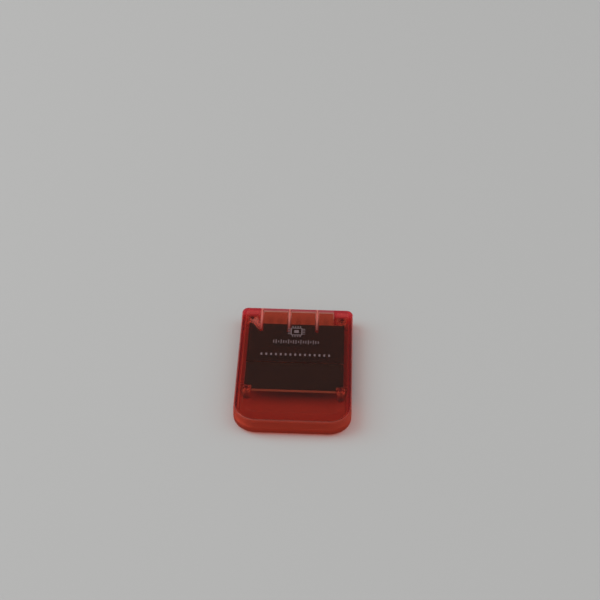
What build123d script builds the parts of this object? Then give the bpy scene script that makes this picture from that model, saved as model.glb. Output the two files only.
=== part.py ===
from build123d import *
import math
import os

# Console memory card in millimetres, lying on its rear face: X runs across the card, +Y points to the
# connector end, +Z out of the printed front. The origin is the middle of the rear face.

# Card outline
card_width = 42.0
card_length = 64.0
card_thickness = 6.6
connector_corner_radius = 2.4
grip_corner_radius = 8.4
front_edge_radius = 0.9
rear_edge_radius = 2.0
least_corner_radius = 0.3

# Case walls, and the lapped joint between the two halves
front_wall = 1.1
rear_wall = 1.2
side_wall = 1.6
parting_height = 3.2
parting_gap = 0.05
lip_thickness = 0.7
lip_height = 0.8
lip_clearance = 0.1

# Recess for a stick-on label in the front, measured from the connector end and the sides
label_start = 31.7
label_side_margin = 3.2
label_end_margin = 5.0
label_depth = 0.2
label_corner_radius = 1.0
label_grip_corner_radius = 5.0

# Connector: contacts in three bays, each bay with a divider rib on its left
contacts_per_bay = (3, 3, 2)
contact_pitch = 3.6
contact_width = 1.75
contact_length = 7.0
contact_thickness = 0.1
contact_edge_gap = 0.25
contact_end_gap = 0.4
rib_thickness = 1.0
rib_length = 12.6
rib_setback = 0.4
rib_floor_gap = 0.15

# Circuit board and the room around it
board_thickness = 1.0
board_side_gap = 1.5
board_front_gap = 0.3
board_play = 0.05
board_clearance = 0.3
tongue_setback = 1.6
tongue_shoulder_gap = 1.1
tail_length = 2.1
rib_slot_clearance = 0.2
rail_reach = 0.8

# Corner pegs of the rear half and their sockets in the front half
peg_side_inset = 4.0
upper_peg_inset = 6.0
lower_peg_inset = 45.7
peg_diameter = 2.6
pin_diameter = 1.5
pin_clearance = 0.1
pin_entry = 0.4
pin_end_gap = 0.15
socket_wall = 0.65

# Controller chip with formed leads on four sides
chip_inset = 29.0
chip_size = 10.0
chip_height = 1.5
chip_standoff = 0.1
chip_edge_chamfer = 0.2
chip_dimple_diameter = 1.0
chip_dimple_depth = 0.1
chip_dimple_inset = 1.4
leads_per_side = 12
lead_pitch = 0.65
lead_width = 0.3
lead_thickness = 0.15
lead_knee = 0.45
lead_reach = 1.05

# Smaller parts on the rear of the board: length along the terminals, width, height
component_gap = 1.2
capacitor_length = 2.0
capacitor_width = 1.25
capacitor_height = 0.9
capacitor_spacing = 4.4
resistor_count = 5
resistor_length = 1.6
resistor_width = 0.8
resistor_height = 0.5
resistor_pitch = 2.6
end_cap_length = 0.35
end_cap_rise = 0.04
tantalum_length = 3.5
tantalum_width = 2.8
tantalum_height = 1.9
resonator_length = 4.5
resonator_width = 2.0
resonator_height = 1.2
resonator_lid_inset = 0.25
diode_length = 2.7
diode_width = 1.6
diode_height = 1.1
detector_length = 1.3
detector_width = 2.9
detector_height = 1.0
detector_lead_spread = 0.95
tab_length = 0.45
tab_thickness = 0.15
tab_width = 0.5
lower_row_gap = 2.0

# Levels and places that follow from the sizes above
connector_end = card_length / 2
grip_end = -card_length / 2
front_underside = card_thickness - front_wall
board_top = front_underside - board_front_gap
board_underside = board_top - board_thickness
front_parting = parting_height + parting_gap
inner_half_width = card_width / 2 - side_wall
board_half_width = inner_half_width - board_side_gap
socket_diameter = pin_diameter + 2 * pin_clearance + 2 * socket_wall
socket_mouth = board_underside + parting_gap
peg_x = card_width / 2 - peg_side_inset
upper_peg_y = connector_end - upper_peg_inset
lower_peg_y = connector_end - lower_peg_inset
tongue_end = connector_end - tongue_setback
board_shoulder = upper_peg_y - socket_diameter / 2 - tongue_shoulder_gap
notch_top = lower_peg_y + socket_diameter / 2 + board_clearance
notch_side = peg_x - socket_diameter / 2 - board_clearance
board_lower_edge = notch_top - tail_length
rail_inner_side = board_half_width - rail_reach
rib_front_y = connector_end - rib_setback
rib_lower_y = rib_front_y - rib_length
bay_widths = [(n - 1) * contact_pitch + contact_width + 2 * contact_edge_gap for n in contacts_per_bay]
window_width = sum(bay_widths) + rib_thickness * len(bay_widths)
window_left = -window_width / 2
window_right = window_width / 2
bay_lefts = [
    window_left + rib_thickness * (i + 1) + sum(bay_widths[:i])
    for i in range(len(bay_widths))
]
rib_places = [left - rib_thickness / 2 for left in bay_lefts]
chip_y = connector_end - chip_inset
chip_reach = chip_size / 2 + lead_reach


def block(x_low, x_high, y_low, y_high, z_low, z_high):
    """A box between two corners."""
    middle = Pos((x_low + x_high) / 2, (y_low + y_high) / 2, (z_low + z_high) / 2)
    return middle * Box(x_high - x_low, y_high - y_low, z_high - z_low)


def post(x, y, diameter, z_low, z_high):
    """An upright round post."""
    return Pos(x, y, (z_low + z_high) / 2) * Cylinder(diameter / 2, z_high - z_low)


def rounded_plan(width, length, connector_radius, grip_radius):
    """A rectangle with one corner radius towards the connector end and another towards the grip end."""
    plan = Rectangle(width, length)
    plan = fillet(plan.vertices().group_by(Axis.Y)[0], grip_radius)
    return fillet(plan.vertices().group_by(Axis.Y)[-1], connector_radius)


def card_slab(inset, z_low, z_high):
    """The card's outline drawn in by inset, between two heights."""
    plan = rounded_plan(
        card_width - 2 * inset,
        card_length - 2 * inset,
        max(connector_corner_radius - inset, least_corner_radius),
        max(grip_corner_radius - inset, least_corner_radius),
    )
    return Pos(0, 0, z_low) * extrude(plan, z_high - z_low)


def window(left_margin, right_margin, z_low, z_high):
    """The opening for the connector through the end wall and the lip behind it, wider by its margins."""
    depth = side_wall + lip_clearance + lip_thickness
    left = window_left - left_margin
    right = window_right + right_margin
    return block(left, right, connector_end - depth, connector_end, z_low, z_high)


def key_web_line():
    """The two ends of the web that keys the board's cut corner: first rib's foot and upper left socket."""
    foot = Vector(rib_places[0], rib_lower_y + rib_thickness / 2)
    return foot, Vector(-peg_x, upper_peg_y)


def key_web():
    """The slanted web between the first rib and the upper left socket."""
    foot, socket = key_web_line()
    run = socket - foot
    middle = (foot + socket) / 2
    height = front_underside - socket_mouth
    turn = math.degrees(math.atan2(run.Y, run.X))
    web = Box(run.length, rib_thickness, height)
    return Pos(middle.X, middle.Y, socket_mouth + height / 2) * Rot(0, 0, turn) * web


def label_recess():
    """The shallow field for a label on the front."""
    top = connector_end - label_start
    bottom = grip_end + label_end_margin
    plan = rounded_plan(
        card_width - 2 * label_side_margin, top - bottom, label_corner_radius, label_grip_corner_radius
    )
    return Pos(0, (top + bottom) / 2, card_thickness - label_depth) * extrude(plan, label_depth)


def peg_places():
    """The four corner pegs."""
    return [(side * peg_x, y) for y in (upper_peg_y, lower_peg_y) for side in (-1, 1)]


def front_shell():
    """Front half: face, side walls, divider ribs, key web, board stops and peg sockets."""
    shell = card_slab(0, front_parting, card_thickness)
    shell = fillet(shell.edges().group_by(Axis.Z)[-1], front_edge_radius)
    shell -= card_slab(side_wall, front_parting, front_underside)
    shell -= window(0, 0, front_parting, front_underside)
    shell -= label_recess()
    for x in rib_places:
        half = rib_thickness / 2
        rib_foot = rear_wall + rib_floor_gap
        shell += block(x - half, x + half, rib_lower_y, rib_front_y, rib_foot, front_underside)
    shell += key_web()
    end_wall = connector_end - side_wall
    shell += block(
        window_right, window_right + rib_thickness, upper_peg_y, end_wall, front_parting, front_underside
    )
    for side in (-1, 1):
        inner, outer = sorted((side * rail_inner_side, side * inner_half_width))
        shell += block(inner, outer, notch_top, board_shoulder, board_top + board_play, front_underside)
    for x, y in peg_places():
        shell += post(x, y, socket_diameter, socket_mouth, front_underside)
    for x, y in peg_places():
        bore_end = front_underside + pin_entry + pin_end_gap
        shell -= post(x, y, pin_diameter + 2 * pin_clearance, front_parting, bore_end)
    return shell


def lip():
    """The upstanding lip that laps inside the front half, with its root on the rear half's wall."""
    lip_outer = side_wall + lip_clearance
    lip_inner = lip_outer + lip_thickness
    root_bottom = parting_height - lip_height
    root = card_slab(side_wall, root_bottom, parting_height)
    lip_top = parting_height + lip_height
    upstand = card_slab(lip_outer, parting_height, lip_top)
    lip_gap = rib_thickness + lip_clearance
    upstand -= window(lip_gap, lip_gap, parting_height, lip_top)
    return root + upstand - card_slab(lip_inner, root_bottom, lip_top)


def rear_shell():
    """Rear half: floor, side walls, lip, board rails, connector window and pegs."""
    shell = card_slab(0, 0, parting_height)
    shell = fillet(shell.edges().group_by(Axis.Z)[0], rear_edge_radius)
    shell -= card_slab(side_wall, rear_wall, parting_height)
    shell += lip()
    shell -= window(lip_clearance, 0, rear_wall, parting_height)
    for side in (-1, 1):
        inner = side * rail_inner_side
        low, high = sorted((inner, side * inner_half_width))
        shell += block(low, high, notch_top, board_shoulder, rear_wall, parting_height)
        low, high = sorted((inner, side * (inner_half_width - lip_clearance)))
        shell += block(low, high, notch_top, board_shoulder, parting_height, board_underside)
    end_wall = connector_end - side_wall
    shell += block(
        window_right, window_right + rib_thickness, upper_peg_y, end_wall, rear_wall, parting_height
    )
    beside_rib = window_left - lip_clearance
    shell += block(
        window_left - rib_thickness, beside_rib, upper_peg_y, end_wall, rear_wall, parting_height
    )
    for x, y in peg_places():
        shell += post(x, y, peg_diameter, rear_wall, board_underside)
        shell += post(x, y, pin_diameter, board_underside, front_underside + pin_entry)
    return shell


def circuit_board():
    """Board with the contact tongue, rib slots, keyed corner and lower notches."""
    half = board_half_width
    board = block(-half, half, board_lower_edge, board_shoulder, board_underside, board_top)
    tongue_right = window_right - rib_slot_clearance
    board += block(rib_places[0], tongue_right, board_shoulder, tongue_end, board_underside, board_top)
    for x in rib_places:
        reach = rib_thickness / 2 + rib_slot_clearance
        slot_foot = rib_lower_y - rib_slot_clearance
        board -= block(x - reach, x + reach, slot_foot, connector_end, board_underside, board_top)
    for side in (-1, 1):
        low, high = sorted((side * notch_side, side * card_width / 2))
        board -= block(low, high, board_lower_edge, notch_top, board_underside, board_top)
    board -= key_cut()
    return board


def key_cut():
    """The slanted corner of the board, clear of the key web."""
    foot, socket = key_web_line()
    along = (socket - foot).normalized()
    shift = Vector(-along.Y, along.X) * (rib_thickness / 2 + board_clearance)
    low, high = foot + shift, socket + shift
    corners = [low, high, Vector(rib_places[0], high.Y), Vector(rib_places[0], low.Y)]
    plan = make_face(Polyline(*corners, close=True))
    return Pos(0, 0, board_underside) * extrude(plan, board_thickness)


def contact_pads():
    """Plated contacts on the rear of the tongue, counted from the left bay."""
    centres = [
        left + contact_edge_gap + contact_width / 2 + i * contact_pitch
        for left, count in zip(bay_lefts, contacts_per_bay)
        for i in range(count)
    ]
    y_high = tongue_end - contact_end_gap
    y_low = y_high - contact_length
    face = board_underside - contact_thickness
    half = contact_width / 2
    return [block(x - half, x + half, y_low, y_high, face, board_underside) for x in centres]


def controller_chip():
    """Moulded body of the chip, with a dimple that marks its first lead."""
    top = board_underside - chip_standoff
    half = chip_size / 2
    body = block(-half, half, chip_y - half, chip_y + half, top - chip_height, top)
    body = chamfer(body.edges(), chip_edge_chamfer)
    dimple = half - chip_dimple_inset
    dimple_floor = top - chip_height + chip_dimple_depth
    return body - post(-dimple, chip_y + dimple, chip_dimple_diameter, top - chip_height, dimple_floor)


def chip_leads():
    """Formed leads, each bent down from the side of the chip to a foot on the board."""
    shoulder = chip_standoff + chip_height / 2
    upper = -shoulder + lead_thickness / 2
    lower = -shoulder - lead_thickness / 2
    riser = lead_knee - lead_thickness
    profile = Polyline(
        (0, 0, upper), (riser, 0, upper), (riser, 0, 0), (lead_reach, 0, 0), (lead_reach, 0, -lead_thickness),
        (lead_knee, 0, -lead_thickness), (lead_knee, 0, lower), (0, 0, lower), close=True,
    )
    lead = extrude(make_face(profile), lead_width / 2, both=True)
    first = -(leads_per_side - 1) / 2 * lead_pitch
    leads = []
    for side in range(4):
        turn = Pos(0, chip_y, board_underside) * Rot(0, 0, side * 90)
        leads += [turn * Pos(chip_size / 2, first + i * lead_pitch, 0) * lead for i in range(leads_per_side)]
    return Compound([lead.solid() for lead in leads])


def end_capped(length, width, height):
    """A chip capacitor or resistor, its length along X, hanging from the plane of the board's rear."""
    side = width / 2 - end_cap_rise
    body = block(-length / 2, length / 2, -side, side, end_cap_rise - height, -end_cap_rise)
    for end in (-1, 1):
        low, high = sorted((end * length / 2, end * (length / 2 - end_cap_length)))
        body += block(low, high, -width / 2, width / 2, -height, 0)
    return body


def tabbed(length, width, height, tab_places):
    """A moulded part with flat solder tabs, at places along its width on its left and right ends."""
    body = block(-length / 2, length / 2, -width / 2, width / 2, -height, 0)
    for end, y in tab_places:
        low, high = sorted((end * length / 2, end * (length / 2 + tab_length)))
        body += block(low, high, y - tab_width / 2, y + tab_width / 2, -tab_thickness, 0)
    return body


def ceramic_resonator():
    """A ceramic base with a stepped lid."""
    x = resonator_length / 2
    y = resonator_width / 2
    middle = -resonator_height / 2
    base = block(-x, x, -y, y, middle, 0)
    lid_x = x - resonator_lid_inset
    lid_y = y - resonator_lid_inset
    return base + block(-lid_x, lid_x, -lid_y, lid_y, -resonator_height, middle)


def capacitors():
    """Two ceramic capacitors on each side of the chip, standing along Y."""
    x = chip_reach + component_gap + capacitor_width / 2
    rise = capacitor_spacing / 2
    places = [(side * x, chip_y + row * rise) for row in (1, -1) for side in (-1, 1)]
    body = Rot(0, 0, 90) * end_capped(capacitor_length, capacitor_width, capacitor_height)
    return [Pos(*place, board_underside) * body for place in places]


def resistors():
    """A row of resistors between the chip and the contacts, standing along Y."""
    y = chip_y + chip_reach + component_gap + resistor_length / 2
    first = -(resistor_count - 1) / 2 * resistor_pitch
    body = Rot(0, 0, 90) * end_capped(resistor_length, resistor_width, resistor_height)
    return [Pos(first + i * resistor_pitch, y, board_underside) * body for i in range(resistor_count)]


def lower_row():
    """The parts in a row between the chip and the board's lower edge, from left to right."""
    both_ends = [(-1, 0), (1, 0)]
    three_leads = [(-1, detector_lead_spread), (-1, -detector_lead_spread), (1, 0)]
    tantalum = tabbed(tantalum_length, tantalum_width, tantalum_height, both_ends)
    diode = tabbed(diode_length, diode_width, diode_height, both_ends)
    detector = tabbed(detector_length, detector_width, detector_height, three_leads)
    row = {
        "tantalum_capacitor": (tantalum_length, tantalum),
        "ceramic_resonator": (resonator_length, ceramic_resonator()),
        "supply_diode": (diode_length, diode),
        "voltage_detector": (detector_length, detector),
    }
    deepest = max(tantalum_width, resonator_width, diode_width, detector_width)
    y = chip_y - chip_reach - component_gap - deepest / 2
    x = -(sum(length for length, body in row.values()) + lower_row_gap * (len(row) - 1)) / 2
    placed = {}
    for name, (length, body) in row.items():
        placed[name] = Pos(x + length / 2, y, board_underside) * body
        x += length + lower_row_gap
    return placed


nodes = {
    "front_shell": front_shell(),
    "rear_shell": rear_shell(),
    "circuit_board": circuit_board(),
    "controller_chip": controller_chip(),
    "chip_leads": chip_leads(),
}
nodes.update({f"contact_pad_{i}": pad for i, pad in enumerate(contact_pads(), 1)})
nodes.update({f"capacitor_{i}": body for i, body in enumerate(capacitors(), 1)})
nodes.update({f"resistor_{i}": body for i, body in enumerate(resistors(), 1)})
nodes.update(lower_row())

os.makedirs("parts", exist_ok=True)
for name, body in nodes.items():
    export_step(body, f"parts/{name}.step")
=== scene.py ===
# %% [markdown]
# # A console memory card in clear red plastic
#
# The card is two see-through red halves around a dark circuit board. Its solids come in from the frame
# at their real size and in their real place. This lesson dresses them: plastic, board, metal, print and
# light. Nothing here moves or resizes a solid, so every value below is a real size in millimetres.

# %% Load the frame
import math

import bmesh
import bpy
from mathutils import Matrix, Vector


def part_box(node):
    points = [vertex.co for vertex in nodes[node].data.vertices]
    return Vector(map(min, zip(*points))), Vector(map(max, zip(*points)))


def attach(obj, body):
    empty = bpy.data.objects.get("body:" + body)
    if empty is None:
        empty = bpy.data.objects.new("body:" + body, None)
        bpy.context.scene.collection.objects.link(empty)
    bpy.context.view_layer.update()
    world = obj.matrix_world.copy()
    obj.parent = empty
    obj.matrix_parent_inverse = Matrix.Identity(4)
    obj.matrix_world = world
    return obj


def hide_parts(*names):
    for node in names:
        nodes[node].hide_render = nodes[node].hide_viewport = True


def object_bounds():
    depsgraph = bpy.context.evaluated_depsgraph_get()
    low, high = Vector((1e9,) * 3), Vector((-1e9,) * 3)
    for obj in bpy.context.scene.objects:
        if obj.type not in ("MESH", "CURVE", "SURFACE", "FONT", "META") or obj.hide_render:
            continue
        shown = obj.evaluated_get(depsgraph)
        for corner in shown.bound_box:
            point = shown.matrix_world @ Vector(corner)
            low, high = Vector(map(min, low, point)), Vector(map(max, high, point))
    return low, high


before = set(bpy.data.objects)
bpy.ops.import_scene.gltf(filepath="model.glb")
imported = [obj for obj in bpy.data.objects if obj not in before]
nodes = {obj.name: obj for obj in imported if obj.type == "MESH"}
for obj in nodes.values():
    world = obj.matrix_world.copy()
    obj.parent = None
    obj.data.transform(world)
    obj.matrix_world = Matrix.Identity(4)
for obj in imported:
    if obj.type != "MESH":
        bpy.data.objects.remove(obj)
cad_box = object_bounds()
scene = bpy.context.scene
mm = 0.001
print("frame:", len(nodes), "nodes, size in mm", [round(v / mm, 2) for v in cad_box[1] - cad_box[0]])

# %% [markdown]
# ## Camera
# The card lies on its back and is seen from its grip end, from about 40 degrees above. A camera can be
# placed by hand until the picture fits, or worked out from the card's known outline. The second way was
# used: the outline in the picture gives where the lens stood, the point it aimed at and its slight
# roll, and those are the values.

# %% Camera
camera_place = Vector((11.22, -445.71, 385.77)) * mm
camera_aim = Vector((0.57, 41.38, 3.3)) * mm
camera_roll = math.radians(1.03)
camera_lens = 96

camera = bpy.data.objects.new("camera", bpy.data.cameras.new("camera"))
scene.collection.objects.link(camera)
camera.data.lens = camera_lens
camera.data.clip_start = 10 * mm
sight = camera_aim - camera_place
level = sight.to_track_quat("-Z", "Y").to_matrix().to_4x4()
camera.matrix_world = Matrix.Translation(camera_place) @ level @ Matrix.Rotation(camera_roll, 4, "Z")
scene.camera = camera
print("camera:", round(sight.length / mm), "mm from the card")

# %% [markdown]
# ## One small helper for all node trees
# Materials and Geometry Nodes are both trees of nodes. Linking them by hand makes long code, so one
# class wraps a socket: ordinary sums on it add Math nodes, and its node method adds any other node,
# settings first.

# %% A socket that can be used in sums
class Signal:
    """One socket of a node tree. Sums written with signals add Math nodes to that tree."""

    def __init__(self, tree, socket=None):
        self.tree = tree
        self.socket = socket

    def node(self, kind, settings=None, inputs=None, output=0):
        """Adds a node: its settings first, then a value or a signal for each input."""
        made = self.tree.nodes.new(kind)
        for name, value in (settings or {}).items():
            setattr(made, name, value)
        for name, value in (inputs or {}).items():
            if isinstance(value, Signal):
                self.tree.links.new(value.socket, made.inputs[name])
            else:
                made.inputs[name].default_value = value
        return Signal(self.tree, made.outputs[output])

    def math(self, operation, *values):
        return self.node("ShaderNodeMath", {"operation": operation}, dict(enumerate(values)))

    def __add__(self, other):
        return self.math("ADD", self, other)

    def __sub__(self, other):
        return self.math("SUBTRACT", self, other)

    def __rsub__(self, other):
        return self.math("SUBTRACT", other, self)

    def __mul__(self, other):
        return self.math("MULTIPLY", self, other)

    def __lt__(self, other):
        return self.math("LESS_THAN", self, other)

    def __gt__(self, other):
        return self.math("GREATER_THAN", self, other)

    def __abs__(self):
        return self.math("ABSOLUTE", self)

    __radd__ = __add__
    __rmul__ = __mul__

    def either(self, other):
        """The larger of two masks."""
        return self.math("MAXIMUM", self, other)

    def step(self, low, high):
        """Rises smoothly from 0 at low to 1 at high."""
        ends = {"Value": self, "From Min": low, "From Max": high}
        return self.node("ShaderNodeMapRange", {"interpolation_type": "SMOOTHSTEP"}, ends)

    def mix(self, bare, full):
        """One colour where this signal is 0, the other where it is 1."""
        return self.node("ShaderNodeMix", {"data_type": "RGBA"}, {0: self, 6: bare, 7: full}, 2)

    def axes(self):
        """The three components of a vector."""
        made = self.node("ShaderNodeSeparateXYZ", inputs={0: self}).socket.node
        return [Signal(self.tree, socket) for socket in made.outputs]


print("helper:", Signal.__name__)


# %% Colours, and the start of every finish
def tone(red, green, blue):
    """A colour as read off a screen, 0 to 255, made linear for the renderer."""
    share = [v / 255 for v in (red, green, blue)]
    return (*(v / 12.92 if v < 0.04045 else ((v + 0.055) / 1.055) ** 2.4 for v in share), 1)


def new_finish(name, constants):
    """A material whose shader has these constant sockets, its shader, and its position in millimetres."""
    material = bpy.data.materials.new(name)
    material.use_nodes = True
    shader = material.node_tree.nodes["Principled BSDF"]
    for socket, value in constants.items():
        shader.inputs[socket].default_value = value
    metres = Signal(material.node_tree).node("ShaderNodeTexCoord", output="Object")
    place = metres.node("ShaderNodeVectorMath", {"operation": "SCALE"}, {0: metres, "Scale": 1 / mm})
    return material, shader, place


def feed(shader, **signals):
    """Links signals to the shader's sockets; an underscore in a name stands for a space."""
    for name, signal in signals.items():
        signal.tree.links.new(signal.socket, shader.inputs[name.replace("_", " ")])


def noise(place, per_mm, detail=2.0):
    """Soft noise around 0.5, with about this many humps to a millimetre."""
    return place.node("ShaderNodeTexNoise", None, {"Vector": place, "Scale": per_mm, "Detail": detail})


def bump(height, depth, strength=1.0):
    """A normal from a height signal, whose full height is depth in millimetres."""
    sockets = {"Height": height, "Distance": depth * mm, "Strength": strength}
    return height.node("ShaderNodeBump", None, sockets)


print("helpers: tone, new_finish, feed, noise, bump")

# %% [markdown]
# ## Floor and light
# The card is shown on a plain pale floor in soft light. A floor could be a shadow catcher over a flat
# colour, but a real plane gives the clear plastic something to look through to.
#
# The light could be one even grey room, but that leaves clear plastic flat. Two broad lamps stand left
# and right, away from the direction that the flat face mirrors to the viewer, and draw soft shadows on
# both sides. The room is lighter at the horizon, overhead and on the viewer's side, and dark where the
# face would mirror it, so the board shows through without a veil.

# %% Floor
floor_side = 4.0
floor_drop = 0.05 * mm
floor_grey = tone(181, 181, 180)

mesh = bpy.data.meshes.new("floor")
half = floor_side / 2
corners = [(-half, -half), (half, -half), (half, half), (-half, half)]
mesh.from_pydata([(x, y, -floor_drop) for x, y in corners], [], [(0, 1, 2, 3)])
floor = bpy.data.objects.new("floor", mesh)
scene.collection.objects.link(floor)
floor_paint, shader, place = new_finish("floor_paint", {"Roughness": 0.7, "Base Color": floor_grey})
mesh.materials.append(floor_paint)
print("floor:", floor_side, "m wide")


# %% Lamps
def softbox(name, place, side, watts):
    """A square lamp at a place in metres, turned to the card."""
    lamp = bpy.data.lights.new(name, "AREA")
    lamp.shape = "SQUARE"
    lamp.size = side
    lamp.energy = watts
    holder = bpy.data.objects.new(name, lamp)
    scene.collection.objects.link(holder)
    holder.location = place
    holder.rotation_euler = (-Vector(place)).to_track_quat("-Z", "Y").to_euler()
    print(name + ":", watts, "W,", side, "m wide")


softbox("left_lamp", place=(-1.35, 0.2, 1.15), side=1.5, watts=20.0)
softbox("right_lamp", place=(1.2, 0.15, 1.15), side=1.4, watts=6.0)

# %% Room
wall_light = 0.13
horizon_light = 0.5
horizon_height = (0.1, 0.45)
ceiling_light = 0.5
ceiling_height = (0.8, 0.95)
viewer_light = 0.5
viewer_side_y = (-0.3, 0.3)
viewer_height = (0.1, 0.3)

room = bpy.data.worlds.new("grey_room")
room.use_nodes = True
background = room.node_tree.nodes["Background"]
background.inputs["Color"].default_value = (1, 1, 1, 1)
x, y, height = Signal(room.node_tree).node("ShaderNodeTexCoord", output="Generated").axes()
walls = horizon_light + (wall_light - horizon_light) * height.step(*horizon_height)
ceiling = ceiling_light * height.step(*ceiling_height)
viewer_side = viewer_light * (1 - y.step(*viewer_side_y)) * height.step(*viewer_height)
feed(background, Strength=walls + ceiling + viewer_side)
scene.world = room
scene.view_settings.view_transform = "Standard"
print("room:", room.name)

# %% [markdown]
# ## Clear red plastic
# The case is moulded from dyed clear plastic: light goes in, loses its green and blue on the way, and
# comes out red. The loss could all be in the volume, but then the tall side walls would turn black,
# while in the real plastic they stay red because it is slightly cloudy. So each wall takes its share at
# its surface, and the volume adds a deeper red along a longer way. Lamps can't send light straight
# through a bending surface, so their rays meet a clear tinted surface instead.
#
# One moulding shows several finishes, and each gets a mask by position. Over each divider rib and the
# slanted web, and on the foot of each rib, a pale matte line is painted light: it stands for the glow of
# light carried along the ribs from the open connector end, and grows towards that end. The pegs, the lip
# of the connector end and the upright faces of the grip end take a deeper tint, which is painted shade.
# The side walls are a little cloudy, the corners of the connector end take a cloudier pale red that is
# painted light from behind, the inside of the mould was only sanded, and the wall of the grip end is
# frosted for the fingers.

# %% Painted glow over the ribs and the web
face_z = cad_box[1].z / mm
mask_margin = 0.05
rib_middles = (-13.375, -2.925, 7.525)
rib_foot_y = 19.0
# Painted light: how far the pale glow reaches from each rib and the web, and how it grows towards the
# connector end.
rib_glow_reach = (0.15, 0.6)
peg_x = 17.0
peg_y = (26.0, -13.7)
web_foot = Vector((rib_middles[0], 19.5))
web_peg = Vector((-peg_x, peg_y[0]))
web_glow = 0.5
web_glow_reach = (0.3, 2.2)
glow_least = 0.25


def distance_to(place, middles):
    """How far a place is from the nearest of these middles, along one axis."""
    nearest = abs(place - middles[0])
    for middle in middles[1:]:
        nearest = nearest.math("MINIMUM", nearest, abs(place - middle))
    return nearest


def web_distance(x, y):
    """How far a place is from the middle line of the slanted web."""
    along = (web_peg - web_foot).normalized()
    across = Vector((along.y, -along.x))
    return abs(across.x * x + across.y * y - across.dot(web_foot))


def painted_rib_glow(x, y, z):
    """A soft mask of the pale lines painted over the ribs and the web, painted light strongest towards
    the connector end.
    """
    over_rib = (1 - distance_to(x, rib_middles).step(*rib_glow_reach)) * (y > rib_foot_y)
    beside_rib = (x < rib_middles[0]) * (y > rib_foot_y) * (y < web_peg.y)
    over_web = web_glow * (1 - web_distance(x, y).step(*web_glow_reach)) * beside_rib
    grown = glow_least + (1 - glow_least) * y.step(rib_foot_y, web_peg.y)
    return over_rib.either(over_web) * grown * (z > face_z - mask_margin)


# Painted light: these pale lines stand for the glow carried along the ribs, not for marks in the plastic.
print("masks: sink marks over", len(rib_middles), "ribs and a web")

# %% Walls, pegs and the label recess
wall_inside_y = 30.4
grip_radius_middle = Vector((12.6, -23.6))
grip_radius_inside = 6.8
peg_edge = (1.1, 1.9)
label_half_width = 17.8
label_y = (-27.0, 0.3)
label_floor_z = 6.4


def inside_walls(x, y):
    """A mask of everything within the inner faces of the side walls, seen from above."""
    past_x = (abs(x) - grip_radius_middle.x).either(0.0)
    past_y = (grip_radius_middle.y - y).either(0.0)
    from_corner = past_x.math("SQRT", past_x * past_x + past_y * past_y)
    return (from_corner < grip_radius_inside + mask_margin) * (y < wall_inside_y + mask_margin)


def near_pegs(x, y):
    """A soft mask round the four pegs, folded over the card's middle line."""
    off_x = abs(x) - peg_x
    off_y = distance_to(y, peg_y)
    return 1 - x.math("SQRT", off_x * off_x + off_y * off_y).step(*peg_edge)


def label_field(x, y, z):
    """A mask of the floor of the label recess."""
    low, high = label_y
    on_floor = abs(z - label_floor_z) < mask_margin
    return (abs(x) < label_half_width) * (y < high) * (y > low) * on_floor


print("masks: walls, pegs at", peg_y, "and the label recess")

# %% Cloudy walls, the painted glow of the corners and the frosted grip
side_cloud = 0.025
side_cloud_x = (18.8, 19.8)
# Painted light: the corners of the connector end take a larger pale share, standing for light from
# behind.
corner_glow = 0.2
corner_glow_x = (13.5, 14.3)
corner_glow_y = (26.0, 29.0)
grip_end_y = (-25.0, -22.0)
grip_frost = 0.5
grip_wall_tilt = (0.75, 0.999)
grip_edge_tilt = (0.97, 0.999)


def cloudy_walls_and_corner_glow(x, y):
    """How much the thick side walls scatter light, and a larger pale share at the two corners of the
    connector end that is painted light from behind.
    """
    corner = abs(x).step(*corner_glow_x) * y.step(*corner_glow_y)
    return side_cloud * abs(x).step(*side_cloud_x) + corner_glow * corner


def grip_end(y):
    """A soft mask of the end that is held."""
    return 1 - y.step(*grip_end_y)


def frosted_wall(y, within, facing_up):
    """How frosted the outer wall of the grip end is, up to its rounded upper edge."""
    return grip_frost * grip_end(y) * (1 - within) * (1 - facing_up.step(*grip_wall_tilt))


print("masks: cloudy walls and a frosted grip")

# %% Tints, painted shade and shine of the plastic
wall_tint = (0.85, 0.54, 0.48, 1)
# Painted shade: the lip of the connector end takes a deeper tint, standing for the card's shadow seen
# through it.
rim_painted_shade = (0.78, 0.15, 0.22, 1)
# Painted shade: the pegs take a deeper tint, which darkens them as if they stood in shade.
peg_painted_shade = (0.66, 0.36, 0.34, 1)
# Painted shade: the upright faces of the grip end take a deeper tint that holds back the lamp light
# through them.
grip_painted_shade = (0.74, 0.26, 0.22, 1)
end_rim_y = (30.2, 30.6)
cavity_z = (1.2, 5.5)
upright_tilt = (0.4, 0.98)
polish = 0.05
polish_change = 0.04
upright_satin = 0.3
grip_satin = 0.55
inner_satin = 0.04
label_satin = 0.05


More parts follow.
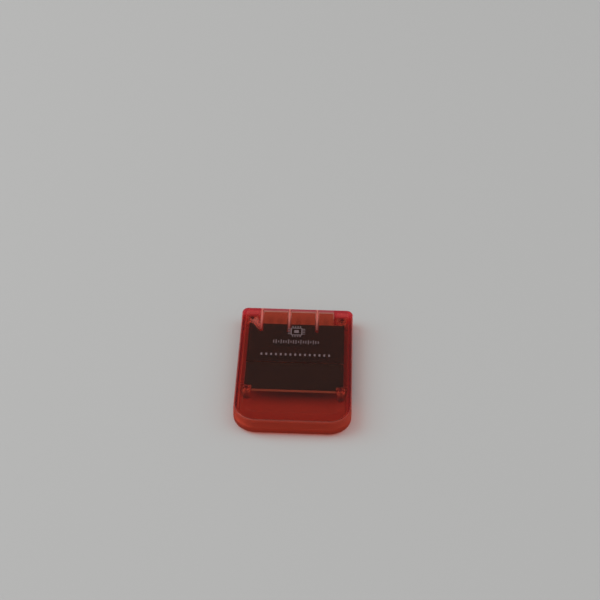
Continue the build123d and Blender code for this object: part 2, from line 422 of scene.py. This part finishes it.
def plastic_skin(shader, place, within, facing_up):
    """Feeds the clear shader its tint, with painted shade as deeper tints at the pegs, the connector-end
    lip and the grip end, its roughness and the faint unevenness of a moulded face.
    """
    x, y, z = place.axes()
    upright = 1 - abs(facing_up).step(*upright_tilt)
    end_rim = y.step(*end_rim_y) * (z > cavity_z[1] - mask_margin)
    # Painted shade: deeper tints at the pegs, the connector-end lip and the upright faces of the grip
    # end.
    tint = near_pegs(x, y).mix(end_rim.mix(wall_tint, rim_painted_shade), peg_painted_shade)
    # Painted shade: the grip end's upright faces take the deeper grip tint.
    feed(shader, Base_Color=(grip_end(y) * upright).mix(tint, grip_painted_shade))
    inside = within * (z > cavity_z[0] - mask_margin) * (z < cavity_z[1] + mask_margin)
    held_edge = grip_end(y) * (1 - within) * (1 - facing_up.step(*grip_edge_tilt))
    dull = (upright_satin * upright).either(grip_satin * held_edge)
    satin = dull + inner_satin * inside + label_satin * label_field(x, y, z)
    feed(shader, Roughness=polish + polish_change * noise(place, per_mm=0.25) + satin)
    feed(shader, Normal=bump(noise(place, per_mm=9.0), depth=0.003, strength=0.4))


print("skin: tints of walls, rim, pegs and grip, polish", polish, "and satin", upright_satin)


# %% Clear red plastic
# Painted light: this pale colour and its two shares paint the glow over the ribs and on their feet.
rib_glow_pale = tone(232, 140, 128)
rib_glow_share = 0.5
rib_half = 0.5
rib_foot_z = 1.35
rib_foot_glow_share = 0.6
# This pale red serves both the cloudy side walls and the painted glow of the corners.
cloud_and_glow_red = tone(225, 74, 94)
frost_red = tone(158, 43, 12)
lamp_tint = (0.93, 0.73, 0.68, 1)
dye_loss_per_mm = Vector((0.03, 0.28, 0.40))


def blended(share, first, second):
    """One shader where share is 0, the other where it is 1."""
    return first.node("ShaderNodeMixShader", None, {0: share, 1: first, 2: second})


def clear_red():
    material, shader, place = new_finish("clear_red", {"Transmission Weight": 1.0, "IOR": 1.5})
    x, y, z = place.axes()
    within = inside_walls(x, y)
    facing_up = place.node("ShaderNodeNewGeometry", output="Normal").axes()[2]
    plastic_skin(shader, place, within, facing_up)
    matt_colours = (rib_glow_pale, cloud_and_glow_red, frost_red)
    pale, cloudy, frosted = (
        place.node("ShaderNodeBsdfDiffuse", None, {"Color": colour}) for colour in matt_colours
    )
    # Painted light: pale matte lines over the ribs and the web and on the rib feet stand for the glow
    # carried along the ribs.
    under_rib = (distance_to(x, rib_middles) < rib_half) * (y > rib_foot_y)
    rib_foot = under_rib * (abs(z - rib_foot_z) < mask_margin)
    rib_glow_lines = painted_rib_glow(x, y, z) * (1 - near_pegs(x, y))
    body = Signal(material.node_tree, shader.outputs[0])
    body = blended(rib_glow_share * rib_glow_lines + rib_foot_glow_share * rib_foot, body, pale)
    # The small share on the side walls is cloudiness; the larger share at the connector-end corners is
    # painted light.
    body = blended(cloudy_walls_and_corner_glow(x, y), body, cloudy)
    body = blended(frosted_wall(y, within, facing_up), body, frosted)
    open_way = place.node("ShaderNodeBsdfTransparent", None, {"Color": lamp_tint})
    for ray in ("Is Diffuse Ray", "Is Shadow Ray"):
        body = blended(place.node("ShaderNodeLightPath", output=ray), body, open_way)
    strongest = max(dye_loss_per_mm)
    dye_colour = (*(1 - loss / strongest for loss in dye_loss_per_mm), 1)
    dye = place.node("ShaderNodeVolumeAbsorption", None, {"Color": dye_colour, "Density": strongest / mm})
    feed(material.node_tree.nodes["Material Output"], Surface=body, Volume=dye)
    return material


clear_plastic = clear_red()
print("finish:", clear_plastic.name)

# %% [markdown]
# ## The two moulded halves
# Each half is one moulding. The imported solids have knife-sharp inner edges, while a mould always leaves
# a small radius that catches light. The solid's triangles are copied, welded and cleared of the cuts
# across flat faces, then every sharp edge gets a narrow bevel. The copy stands in for the solid at the
# same place and size.

# %% Moulded halves
weld_distance = 0.002 * mm
flat_angle = math.radians(0.5)
sharp_angle = math.radians(32)
edge_bevel = 0.1 * mm


def moulded(node, name, material):
    """A welded copy of a solid with its sharp edges softened, which stands for that solid."""
    source = nodes[node].data
    mesh = bpy.data.meshes.new(name)
    mesh.from_pydata([v.co for v in source.vertices], [], [p.vertices for p in source.polygons])
    shape = bmesh.new()
    shape.from_mesh(mesh)
    bmesh.ops.remove_doubles(shape, verts=shape.verts, dist=weld_distance)
    bmesh.ops.dissolve_limit(shape, angle_limit=flat_angle, verts=shape.verts, edges=shape.edges)
    sharp = [e for e in shape.edges if e.is_manifold and e.calc_face_angle() > sharp_angle]
    bmesh.ops.bevel(
        shape, geom=sharp, offset=edge_bevel, segments=2, profile=0.5, affect="EDGES", clamp_overlap=True
    )
    loose = sum(1 for e in shape.edges if not e.is_manifold)
    shape.to_mesh(mesh)
    shape.free()
    mesh.shade_smooth()
    mesh.set_sharp_from_angle(angle=sharp_angle)
    mesh.materials.append(material)
    piece = bpy.data.objects.new(name, mesh)
    scene.collection.objects.link(piece)
    flat_faces = piece.modifiers.new("flat_faces", "WEIGHTED_NORMAL")
    flat_faces.keep_sharp = True
    flat_faces.weight = 100
    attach(piece, "root")
    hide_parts(node)
    print(name + ":", len(mesh.polygons), "faces,", loose, "open edges")
    return piece


front_case = moulded("front_shell", "front_case", clear_plastic)
rear_case = moulded("rear_shell", "rear_case", clear_plastic)

# %% [markdown]
# ## Circuit board
# The board is glass-fibre laminate under a dark green lacquer. The lacquer stops short of the contact
# tongue and never covers a cut edge, so both show the bare straw-coloured laminate. One material does
# it all, with the bare places picked by position and by the direction a face looks in. The tongue is
# painted lighter towards its end: painted light, coming in through the open end of the case.

# %% Places on the board
board_low, board_high = (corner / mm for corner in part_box("circuit_board"))
lacquer_end_y = 23.2
contact_edge = (0.6, 1.2)
# Painted light: where the tongue starts to turn lighter towards its end.
tongue_painted_glow_y = (24.0, 30.4)


def middle_of(node):
    """The middle of a node's box, in millimetres."""
    low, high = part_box(node)
    return (low + high) / 2 / mm


contacts = [middle_of(f"contact_pad_{i}") for i in range(1, 9)]
print("board:", [round(v, 2) for v in board_high - board_low], "with", len(contacts), "contacts")


# %% Circuit board
def board_finish():
    material, shader, place = new_finish("dark_board", {"IOR": 1.5})
    x, y, z = place.axes()
    facing = place.node("ShaderNodeNewGeometry", output="Normal")
    cut_edge = abs(facing.axes()[2]) < 0.5
    bare = cut_edge.either(y > lacquer_end_y)
    weave = place.node("ShaderNodeTexChecker", None, {"Vector": place, "Scale": 2.2}, "Fac")
    fibre = weave * 0.4 + noise(place, 3.0) * 0.6
    over_contact = 1 - distance_to(x, [contact.x for contact in contacts]).step(*contact_edge)
    tongue = (0.4 * fibre + 0.6 * over_contact).mix(tone(132, 94, 72), tone(158, 116, 92))
    # Painted light: the tongue turns lighter and pinker towards its end, where light comes in through the
    # open end.
    tongue = y.step(*tongue_painted_glow_y).mix(tongue, tone(170, 132, 117))
    laminate = cut_edge.mix(tongue, fibre.mix(tone(172, 168, 150), tone(190, 186, 168)))
    lacquer = noise(place, 0.4, 4.0).mix(tone(14, 18, 13), tone(24, 31, 22))
    feed(shader, Base_Color=bare.mix(lacquer, laminate))
    feed(shader, Roughness=0.25 + 0.12 * noise(place, 1.2) + 0.3 * bare)
    feed(shader, Normal=bump(weave + noise(place, 2.0), 0.01, 0.3))
    return material


dark_board = board_finish()
nodes["circuit_board"].data.materials[0] = dark_board
print("finish:", dark_board.name)

# %% [markdown]
# ## Metal: gold contacts and tinned leads
# The contacts are gold over nickel, polished and marked by the springs that rub along them. Leads and
# end caps are tinned, so they are grey and a little cloudy. Both are metals with their own colour, and
# what tells them apart up close is the roughness: fine scratches along the contacts, soft clouds on the
# tin.

# %% Gold and tin
def gold_plate():
    material, shader, place = new_finish("gold_plate", {"Metallic": 1.0})
    along = place.node("ShaderNodeMapping", None, {"Vector": place, "Scale": (9.0, 0.25, 1.0)})
    rubbed = noise(along, 1.0, 4.0)
    feed(shader, Base_Color=rubbed.mix(tone(226, 178, 92), tone(246, 208, 130)))
    feed(shader, Roughness=0.16 + 0.24 * rubbed)
    feed(shader, Normal=bump(rubbed, 0.006, 0.5))
    return material


def tinned():
    material, shader, place = new_finish("tinned", {"Metallic": 1.0})
    cloud = noise(place, 3.0, 3.0)
    feed(shader, Base_Color=cloud.mix(tone(184, 186, 188), tone(216, 217, 216)))
    feed(shader, Roughness=0.28 + 0.2 * cloud)
    feed(shader, Normal=bump(cloud, 0.01, 0.4))
    return material


gold = gold_plate()
tin = tinned()
for name, node in nodes.items():
    if name.startswith("contact_pad"):
        node.data.materials[0] = gold
nodes["chip_leads"].data.materials[0] = tin
print("metal: contacts and leads")

# %% [markdown]
# ## Moulded and ceramic parts on the board
# Each small part has a body of one stuff and ends or tabs of tin. Two materials on one solid would need
# its faces sorted, so one material picks the metal by position: further from the part's middle than its
# body reaches.

# %% Parts on the board
tin_light = tone(205, 206, 206)
resin_dark = tone(18, 18, 20)
resin_light = tone(37, 37, 40)


def moulded_body(name, dark, light, roughness=0.45, tinned_where=None):
    """A matte body, and tin in the places where tinned_where turns a position into a mask."""
    material, shader, place = new_finish(name, {})
    grain = noise(place, 12.0, 3.0)
    colour = grain.mix(dark, light)
    shine = roughness + 0.15 * grain
    if tinned_where:
        metal = tinned_where(*place.axes())
        colour = metal.mix(colour, tin_light)
        shine = shine - 0.15 * metal
        feed(shader, Metallic=metal)
    feed(shader, Base_Color=colour, Roughness=shine, Normal=bump(grain, 0.01, 0.35))
    return material


def ends_of(node, axis, length):
    """A mask for both ends of a node, of this length, along X (0) or Y (1)."""
    low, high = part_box(node)
    body_half = (high[axis] - low[axis]) / 2 / mm - length
    middle = middle_of(node)[axis]
    return lambda *place: abs(place[axis] - middle) > body_half


print("helpers: moulded_body, ends_of")

# %% A finish for each kind of part
cap_length = 0.35
tab_length = 0.44
chip_middle = middle_of("controller_chip")
capacitor_row = middle_of("capacitor_1")


def capacitor_ends(x, y, z):
    """The ends of both rows of capacitors at once: folded over the chip's middle line."""
    low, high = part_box("capacitor_1")
    body_half = (high.y - low.y) / 2 / mm - cap_length
    row_offset = abs(capacitor_row.y - chip_middle.y)
    return abs(abs(y - chip_middle.y) - row_offset) > body_half


finishes = {
    "capacitor_": moulded_body(
        "fired_ceramic", tone(150, 118, 84), tone(182, 150, 112), tinned_where=capacitor_ends
    ),
    "resistor_": moulded_body(
        "resistor_glaze", tone(14, 14, 16), tone(30, 30, 34), 0.3, ends_of("resistor_3", 1, cap_length)
    ),
    "tantalum_capacitor": moulded_body(
        "tantalum_resin", tone(196, 146, 44), tone(220, 172, 70),
        tinned_where=ends_of("tantalum_capacitor", 0, tab_length),
    ),
    "supply_diode": moulded_body(
        "diode_resin", resin_dark, resin_light, tinned_where=ends_of("supply_diode", 0, tab_length)
    ),
    "voltage_detector": moulded_body(
        "detector_resin", resin_dark, resin_light, tinned_where=ends_of("voltage_detector", 0, tab_length)
    ),
    "ceramic_resonator": moulded_body("pale_ceramic", tone(190, 182, 164), tone(214, 208, 194)),
    "controller_chip": moulded_body("chip_resin", resin_dark, resin_light),
}
for name, node in nodes.items():
    for start, material in finishes.items():
        if name.startswith(start):
            node.data.materials[0] = material
print("parts:", ", ".join(finishes))

# %% [markdown]
# ## Trees of Geometry Nodes
# What repeats or follows a path is made by Geometry Nodes: a small tree with named inputs, run once on
# a seed mesh. The result is taken as a plain mesh, because an exported model keeps meshes and loses
# modifiers.

# %% Helpers for Geometry Nodes
def new_tree(name, **inputs):
    """A Geometry Nodes tree with these named inputs, and a signal for each."""
    tree = bpy.data.node_groups.new(name, "GeometryNodeTree")
    tree.interface.new_socket("Geometry", in_out="INPUT", socket_type="NodeSocketGeometry")
    tree.interface.new_socket("Geometry", in_out="OUTPUT", socket_type="NodeSocketGeometry")
    for label, kind in inputs.items():
        tree.interface.new_socket(label, in_out="INPUT", socket_type="NodeSocket" + kind)
    entry = tree.nodes.new("NodeGroupInput")
    return tree, {socket.name: Signal(tree, socket) for socket in entry.outputs if socket.name}


def end_tree(geometry, material):
    """Closes a tree: instances made real, the material set, the result passed out."""
    real = geometry.node("GeometryNodeRealizeInstances", None, {0: geometry})
    coloured = real.node("GeometryNodeSetMaterial", None, {"Geometry": real, "Material": material})
    geometry.tree.links.new(coloured.socket, geometry.tree.nodes.new("NodeGroupOutput").inputs[0])


def grow(name, tree, values, seed=None):
    """Runs a tree on a seed mesh and returns the result as a plain mesh."""
    seed = seed or bpy.data.meshes.new(name + "_seed")
    holder = bpy.data.objects.new(name, seed)
    scene.collection.objects.link(holder)
    modifier = holder.modifiers.new(name, "NODES")
    modifier.node_group = tree
    for item in tree.interface.items_tree:
        if item.in_out == "INPUT" and item.name in values:
            modifier[item.identifier] = values[item.name]
    done = holder.evaluated_get(bpy.context.evaluated_depsgraph_get())
    mesh = bpy.data.meshes.new_from_object(done)
    bpy.data.objects.remove(holder)
    return mesh


def joined(first, second):
    """Two geometries as one."""
    both = first.node("GeometryNodeJoinGeometry", None, {0: first})
    first.tree.links.new(second.socket, both.socket.node.inputs[0])
    return both


def one_piece(name, meshes, material):
    """Several meshes as one piece that rides on the card."""
    shape = bmesh.new()
    for part in meshes:
        shape.from_mesh(part)
    mesh = bpy.data.meshes.new(name)
    shape.to_mesh(mesh)
    shape.free()
    mesh.materials.clear()
    mesh.materials.append(material)
    piece = bpy.data.objects.new(name, mesh)
    scene.collection.objects.link(piece)
    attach(piece, "root")
    print(name + ":", len(mesh.polygons), "faces")
    return piece


print("helpers: new_tree, end_tree, grow, joined, one_piece")

# %% [markdown]
# ## Copper tracks
# A track is a strip of copper left on the board's rear face, with the lacquer over it. It could be
# painted into the board's material, but a real strip has an edge that catches light. Each track is
# drawn as a path with square corners, and Geometry Nodes cuts the corners at 45 degrees, as a board
# layout does, and sweeps a flat section along it.

# %% Track tree and finish
rear_z = board_low.z
track_width = 0.3
track_height = 0.04
track_sink = 0.01
corner_cut = 1.2
merge_distance = 0.01 * mm


def track_tree():
    tree, given = new_tree("copper_tracks", Width="Float", Height="Float", Cut="Float", Finish="Material")
    seed = given["Geometry"]
    path = seed.node("GeometryNodeMeshToCurve", None, {"Mesh": seed})
    corners = {"Curve": path, "Count": 1, "Radius": given["Cut"], "Limit Radius": True}
    cut = path.node("GeometryNodeFilletCurve", {"mode": "POLY"}, corners)
    line = cut.node("GeometryNodeCurveToMesh", None, {"Curve": cut})
    line = line.node("GeometryNodeMergeByDistance", None, {"Geometry": line, "Distance": merge_distance})
    path = line.node("GeometryNodeMeshToCurve", None, {"Mesh": line})
    path = path.node("GeometryNodeSetCurveNormal", {"mode": "Z_UP"}, {"Curve": path})
    size = {"Width": given["Width"], "Height": given["Height"]}
    section = path.node("GeometryNodeCurvePrimitiveQuadrilateral", None, size)
    swept = {"Curve": path, "Profile Curve": section, "Fill Caps": True}
    strip = path.node("GeometryNodeCurveToMesh", None, swept)
    end_tree(strip, given["Finish"])
    return tree


def lacquered_copper():
    material, shader, place = new_finish("lacquered_copper", {"IOR": 1.5})
    cloud = noise(place, 1.5, 3.0)
    feed(shader, Base_Color=cloud.mix(tone(26, 46, 30), tone(40, 66, 42)))
    feed(shader, Roughness=0.22 + 0.14 * cloud)
    return material


strip_tree = track_tree()
copper = lacquered_copper()
print("track tree:", len(strip_tree.nodes), "nodes, finish", copper.name)

# %% Where tracks start and end
lead_count = 12
lead_pitch = 0.65
lead_low, lead_high = (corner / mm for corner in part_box("chip_leads"))
resistors = [middle_of(f"resistor_{i}") for i in range(1, 6)]
pad_overlap = 0.2
pad_foot_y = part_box("contact_pad_1")[0].y / mm + pad_overlap
cap_reach = (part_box("resistor_1")[1].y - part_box("resistor_1")[0].y) / 2 / mm - cap_length / 2
fan_y = 16.5
supply_turn = 2.0
signal_leads = (1, 3, 5, 8, 10)
supply_leads = (1, 10)


def along_side(i):
    """How far lead i of a side lies from the middle of that side."""
    return (i - (lead_count - 1) / 2) * lead_pitch


def crossing(start, end, turn_y):
    """A path that leaves and arrives along Y and crosses at turn_y."""
    return [start, (start[0], turn_y), (end[0], turn_y), end]


def tab(node, side):
    """The middle of a part's left (-1) or right (1) tab."""
    low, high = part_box(node)
    x = (low if side < 0 else high).x / mm - side * tab_length / 2
    return (x, middle_of(node).y)


def down_to(start, end):
    """A path that runs along Y first and then along X."""
    return [start, (start[0], end[1]), end]


print("tracks run from", len(contacts), "contacts to", len(resistors), "resistors and the chip")

# %% Track paths
paths = [
    crossing((pad.x, pad_foot_y), (body.x, body.y + cap_reach), fan_y)
    for pad, body in zip(contacts[1:6], resistors)
]
for body, i in zip(resistors, signal_leads):
    toe = (chip_middle.x + along_side(i), lead_high.y)
    paths.append(crossing((body.x, body.y - cap_reach), toe, (body.y - cap_reach + lead_high.y) / 2))
for side_x in (lead_low.x, lead_high.x):
    for i in supply_leads:
        y = chip_middle.y + along_side(i)
        paths.append([(side_x, y), (math.copysign(capacitor_row.x, side_x), y)])
capacitor_top_y = max(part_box(f"capacitor_{i}")[1].y for i in range(1, 5)) / mm - cap_length / 2
capacitor_top = (abs(capacitor_row.x), capacitor_top_y)
resonator_low, resonator_high = (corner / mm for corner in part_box("ceramic_resonator"))
for i, x in ((2, resonator_low.x), (6, resonator_high.x)):
    toe = (chip_middle.x + along_side(i), lead_low.y)
    paths.append(crossing(toe, (x, resonator_high.y), (lead_low.y + resonator_high.y) / 2))
paths += [
    down_to((contacts[0].x, pad_foot_y), tab("tantalum_capacitor", -1)),
    down_to((contacts[7].x, pad_foot_y), tab("voltage_detector", 1)),
    crossing((contacts[6].x, pad_foot_y), capacitor_top, capacitor_top[1] + supply_turn),
    down_to((chip_middle.x + along_side(0), lead_low.y), tab("tantalum_capacitor", 1)),
    down_to((chip_middle.x + along_side(9), lead_low.y), tab("supply_diode", -1)),
]
print("paths:", len(paths))

# %% Copper tracks
seed = bpy.data.meshes.new("track_paths")
track_z = rear_z - track_height / 2 + track_sink
points = [(x * mm, y * mm, track_z * mm) for path in paths for x, y in path]
edges = []
for path in paths:
    first = edges[-1][1] + 1 if edges else 0
    edges += [(first + i, first + i + 1) for i in range(len(path) - 1)]
seed.from_pydata(points, edges, [])
sizes = {"Width": track_width * mm, "Height": track_height * mm, "Cut": corner_cut * mm, "Finish": copper}
one_piece("copper_tracks", [grow("track_run", strip_tree, sizes, seed)], copper)

# %% [markdown]
# ## Solder
# Each lead, tab and end cap sits in a small cone of solder that wets the board and climbs the metal.
# One cone could be copied by hand to each place, but the places follow from the parts, so Geometry
# Nodes sets a cone on every point of a seed mesh. The wide foot lies on the board and the cone points
# away from it.

# %% Solder tree
def solder_tree():
    tree, given = new_tree("solder", Foot="Float", Top="Float", Height="Float", Finish="Material")
    seed = given["Geometry"]
    sizes = {"Radius Bottom": given["Foot"], "Radius Top": given["Top"], "Depth": given["Height"]}
    faces = {"Vertices": 12, "Side Segments": 2}
    cone = seed.node("GeometryNodeMeshCone", None, sizes | faces)
    set_down = {"Points": seed, "Instance": cone, "Rotation": (math.pi, 0, 0)}
    end_tree(seed.node("GeometryNodeInstanceOnPoints", None, set_down), given["Finish"])
    return tree


cone_tree = solder_tree()


def soldered(name, places, foot, top, height):
    """Solder cones at these places on the board's rear face, all sizes in millimetres."""
    seed = bpy.data.meshes.new(name + "_places")
    seed.from_pydata([(x * mm, y * mm, rear_z * mm) for x, y in places], [], [])
    sizes = {"Foot": foot * mm, "Top": top * mm, "Height": height * mm, "Finish": tin}
    return grow(name, cone_tree, sizes, seed)


print("solder tree:", len(cone_tree.nodes), "nodes")

# %% Solder joints
lead_toes = []
for i in range(lead_count):
    lead_toes += [(x, chip_middle.y + along_side(i)) for x in (lead_low.x, lead_high.x)]
    lead_toes += [(chip_middle.x + along_side(i), y) for y in (lead_low.y, lead_high.y)]


def end_places(start):
    """Both ends, along Y, of every part whose name starts so."""
    boxes = [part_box(name) for name in nodes if name.startswith(start)]
    return [((low.x + high.x) / 2 / mm, y / mm) for low, high in boxes for y in (low.y, high.y)]


detector_spread = 0.95
tab_places = [tab(node, side) for node in ("tantalum_capacitor", "supply_diode") for side in (-1, 1)]
detector_x, detector_y = tab("voltage_detector", -1)
tab_places += [(detector_x, detector_y + shift) for shift in (-detector_spread, detector_spread)]
tab_places.append(tab("voltage_detector", 1))
resonator_ends = [(x, middle_of("ceramic_resonator").y) for x in (resonator_low.x, resonator_high.x)]
joints = [
    soldered("lead_solder", lead_toes, foot=0.24, top=0.12, height=0.13),
    soldered("resistor_solder", end_places("resistor_"), foot=0.44, top=0.2, height=0.32),
    soldered("capacitor_solder", end_places("capacitor_"), foot=0.66, top=0.3, height=0.5),
    soldered("tab_solder", tab_places, foot=0.4, top=0.24, height=0.2),
    soldered("resonator_solder", resonator_ends, foot=0.6, top=0.25, height=0.5),
]
one_piece("solder_joints", joints, tin)

# %% [markdown]
# ## Printing on the front
# The front carries a little pale print. Here it is a plain drawing of a chip, a line of strokes and a
# row of fifteen marks, one for each block of memory. A row is a pattern, so Geometry Nodes makes it: a
# line of points, one rounded mark on each, and a height that swings along the row. The film is a real,
# very thin mesh.

# %% Tree of printed marks
swing_step = 2.4


def rounded_box(width, height, corner):
    """The outline of a box with rounded corners, as a curve about the origin."""
    size = {"Width": width, "Height": height}
    box = width.node("GeometryNodeCurvePrimitiveQuadrilateral", None, size)
    rounding = {"Curve": box, "Count": 4, "Radius": corner}
    return box.node("GeometryNodeFilletCurve", {"mode": "POLY"}, rounding)


def marks_tree():
    tree, given = new_tree(
        "printed_row", Count="Int", Start="Vector", Pitch="Vector", Width="Float", Height="Float",
        Corner="Float", Line="Float", Open="Bool", Swing="Float", Film="Float", Ink="Material",
    )
    count = given["Count"]
    spread = {"Count": count, "Start Location": given["Start"], "Offset": given["Pitch"]}
    points = count.node("GeometryNodeMeshLine", None, spread)
    width, height, corner, line = (given[name] for name in ("Width", "Height", "Corner", "Line"))
    outer = rounded_box(width, height, corner)
    ring = joined(outer, rounded_box(width - 2 * line, height - 2 * line, corner - line))
    choice = {"Switch": given["Open"], "False": outer, "True": ring}
    outline = ring.node("GeometryNodeSwitch", {"input_type": "GEOMETRY"}, choice)
    face = outline.node("GeometryNodeFillCurve", {"mode": "TRIANGLES"}, {0: outline})
    lift = {"Mesh": face, "Offset Scale": given["Film"], "Individual": False}
    raised = face.node("GeometryNodeExtrudeMesh", None, lift)
    both = joined(raised, face.node("GeometryNodeFlipFaces", None, {"Mesh": face}))
    closing = {"Geometry": both, "Distance": weld_distance / 10}
    film = both.node("GeometryNodeMergeByDistance", None, closing)
    index = count.node("GeometryNodeInputIndex")
    swing = 1 + given["Swing"] * index.math("SINE", index * swing_step)
    stretch = swing.node("ShaderNodeCombineXYZ", None, {0: 1.0, 1: swing, 2: 1.0})
    marks = {"Points": points, "Instance": film, "Scale": stretch}
    end_tree(points.node("GeometryNodeInstanceOnPoints", None, marks), given["Ink"])
    return tree


row_tree = marks_tree()
print("print tree:", len(row_tree.nodes), "nodes")

# %% Rows of marks
front_z = cad_box[1].z
film_lift = 0.004 * mm
film_thickness = 0.012 * mm


def print_ink():
    material, shader, place = new_finish("pale_ink", {"IOR": 1.45})
    speck = noise(place, 14.0, 3.0)
    feed(shader, Base_Color=speck.mix(tone(98, 80, 82), tone(116, 96, 98)))
    feed(shader, Roughness=0.45 + 0.2 * speck)
    return material


ink = print_ink()


def printed_row(name, count, middle, pitch, width, height, corner, line=0.0, swing=0.0, upright=False):
    """A row of marks about a middle point on the front, in millimetres, open if a line is given."""
    step = Vector((0, pitch, 0)) if upright else Vector((pitch, 0, 0))
    start = Vector((*middle, 0)) - step * (count - 1) / 2
    start = start * mm + Vector((0, 0, front_z + film_lift))
    values = {
        "Count": count, "Start": start, "Pitch": step * mm, "Width": width * mm, "Height": height * mm,
        "Corner": corner * mm, "Line": line * mm, "Open": line > 0, "Swing": swing,
        "Film": film_thickness, "Ink": ink,
    }
    return grow(name, row_tree, values)


block_row = printed_row(
    "block_row", 15, middle=(0, 4.55), pitch=1.78, width=0.7, height=1.3, corner=0.15
)
stroke_row = printed_row(
    "stroke_row", 19, middle=(0, 11.9), pitch=0.92, width=0.32, height=1.9, corner=0.12, swing=0.4
)
print("print rows:", len(block_row.polygons), "and", len(stroke_row.polygons), "faces")

# %% Chip drawing
emblem_middle = Vector((0, 18.0))
body_side = 4.4
body_line = 0.4
body_corner = 0.6
core_side = 1.7
core_corner = 0.25
leg_count = 4
leg_pitch = 0.95
leg_length = 0.95
leg_width = 0.36
leg_corner = 0.12
leg_gap = 0.1

leg_reach = body_side / 2 + leg_length / 2 + leg_gap
emblem = [
    printed_row("chip_body", 1, emblem_middle, 0, body_side, body_side, body_corner, line=body_line),
    printed_row("chip_core", 1, emblem_middle, 0, core_side, core_side, core_corner),
]
for side in (-1, 1):
    across = (emblem_middle.x + side * leg_reach, emblem_middle.y)
    along = (emblem_middle.x, emblem_middle.y + side * leg_reach)
    legs = ("leg_row", leg_count)
    emblem += [
        printed_row(*legs, across, leg_pitch, leg_length, leg_width, leg_corner, upright=True),
        printed_row(*legs, along, leg_pitch, leg_width, leg_length, leg_corner),
    ]
one_piece("front_print", [*emblem, stroke_row, block_row], ink)
